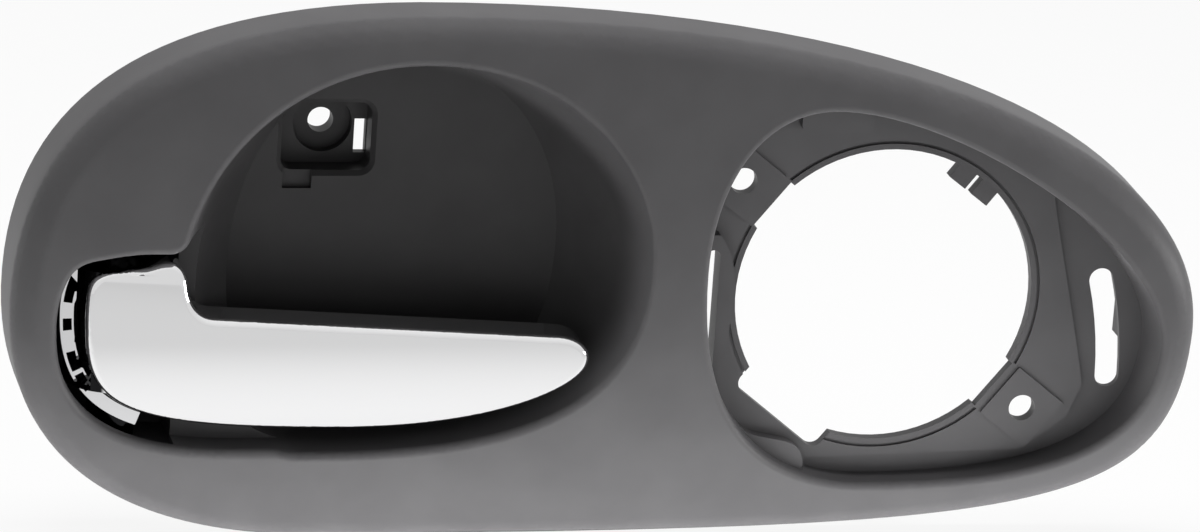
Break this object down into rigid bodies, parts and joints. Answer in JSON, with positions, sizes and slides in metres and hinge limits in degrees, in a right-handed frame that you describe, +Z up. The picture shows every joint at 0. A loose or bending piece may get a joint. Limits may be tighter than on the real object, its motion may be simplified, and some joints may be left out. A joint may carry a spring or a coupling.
{
  "type": "car interior door handle",
  "caption": "Egg-shaped moulded bezel for a car door, with a recessed finger pocket, a hinged chrome pull lever, a screw window and a round seat for a speaker.",
  "frame": {"origin": "on the axis of the fixing screw, where the screw boss meets the door's inner panel", "axes": "+X to the right as seen from the cabin, +Z up, -Y towards the cabin"},
  "size_m": [0.3088, 0.046, 0.1407],
  "materials": {
    "bezel_plastic": "fine-grained dark slate grey",
    "lever_chrome": "bright plating over moulded plastic",
    "pin_steel": "ground steel",
    "spring_steel": "drawn spring wire",
    "bumper_rubber": "soft black rubber"
  },
  "bodies": {
    "housing": {"bezel": "bezel_plastic", "rest_bumper": "bumper_rubber"},
    "pull_lever": {"lever": "lever_chrome", "pivot_pin": "pin_steel", "return_spring": "spring_steel"}
  },
  "joints": [
    {"name": "lever_pull", "type": "hinge", "parent": "housing", "child": "pull_lever", "pos_m": [-0.054, -0.0275, -0.051], "axis": [0, 0, -1], "range_deg": [0, 30], "stiffness_Nm_per_rad": 0.4, "springref_deg": -17.19}
  ]
}
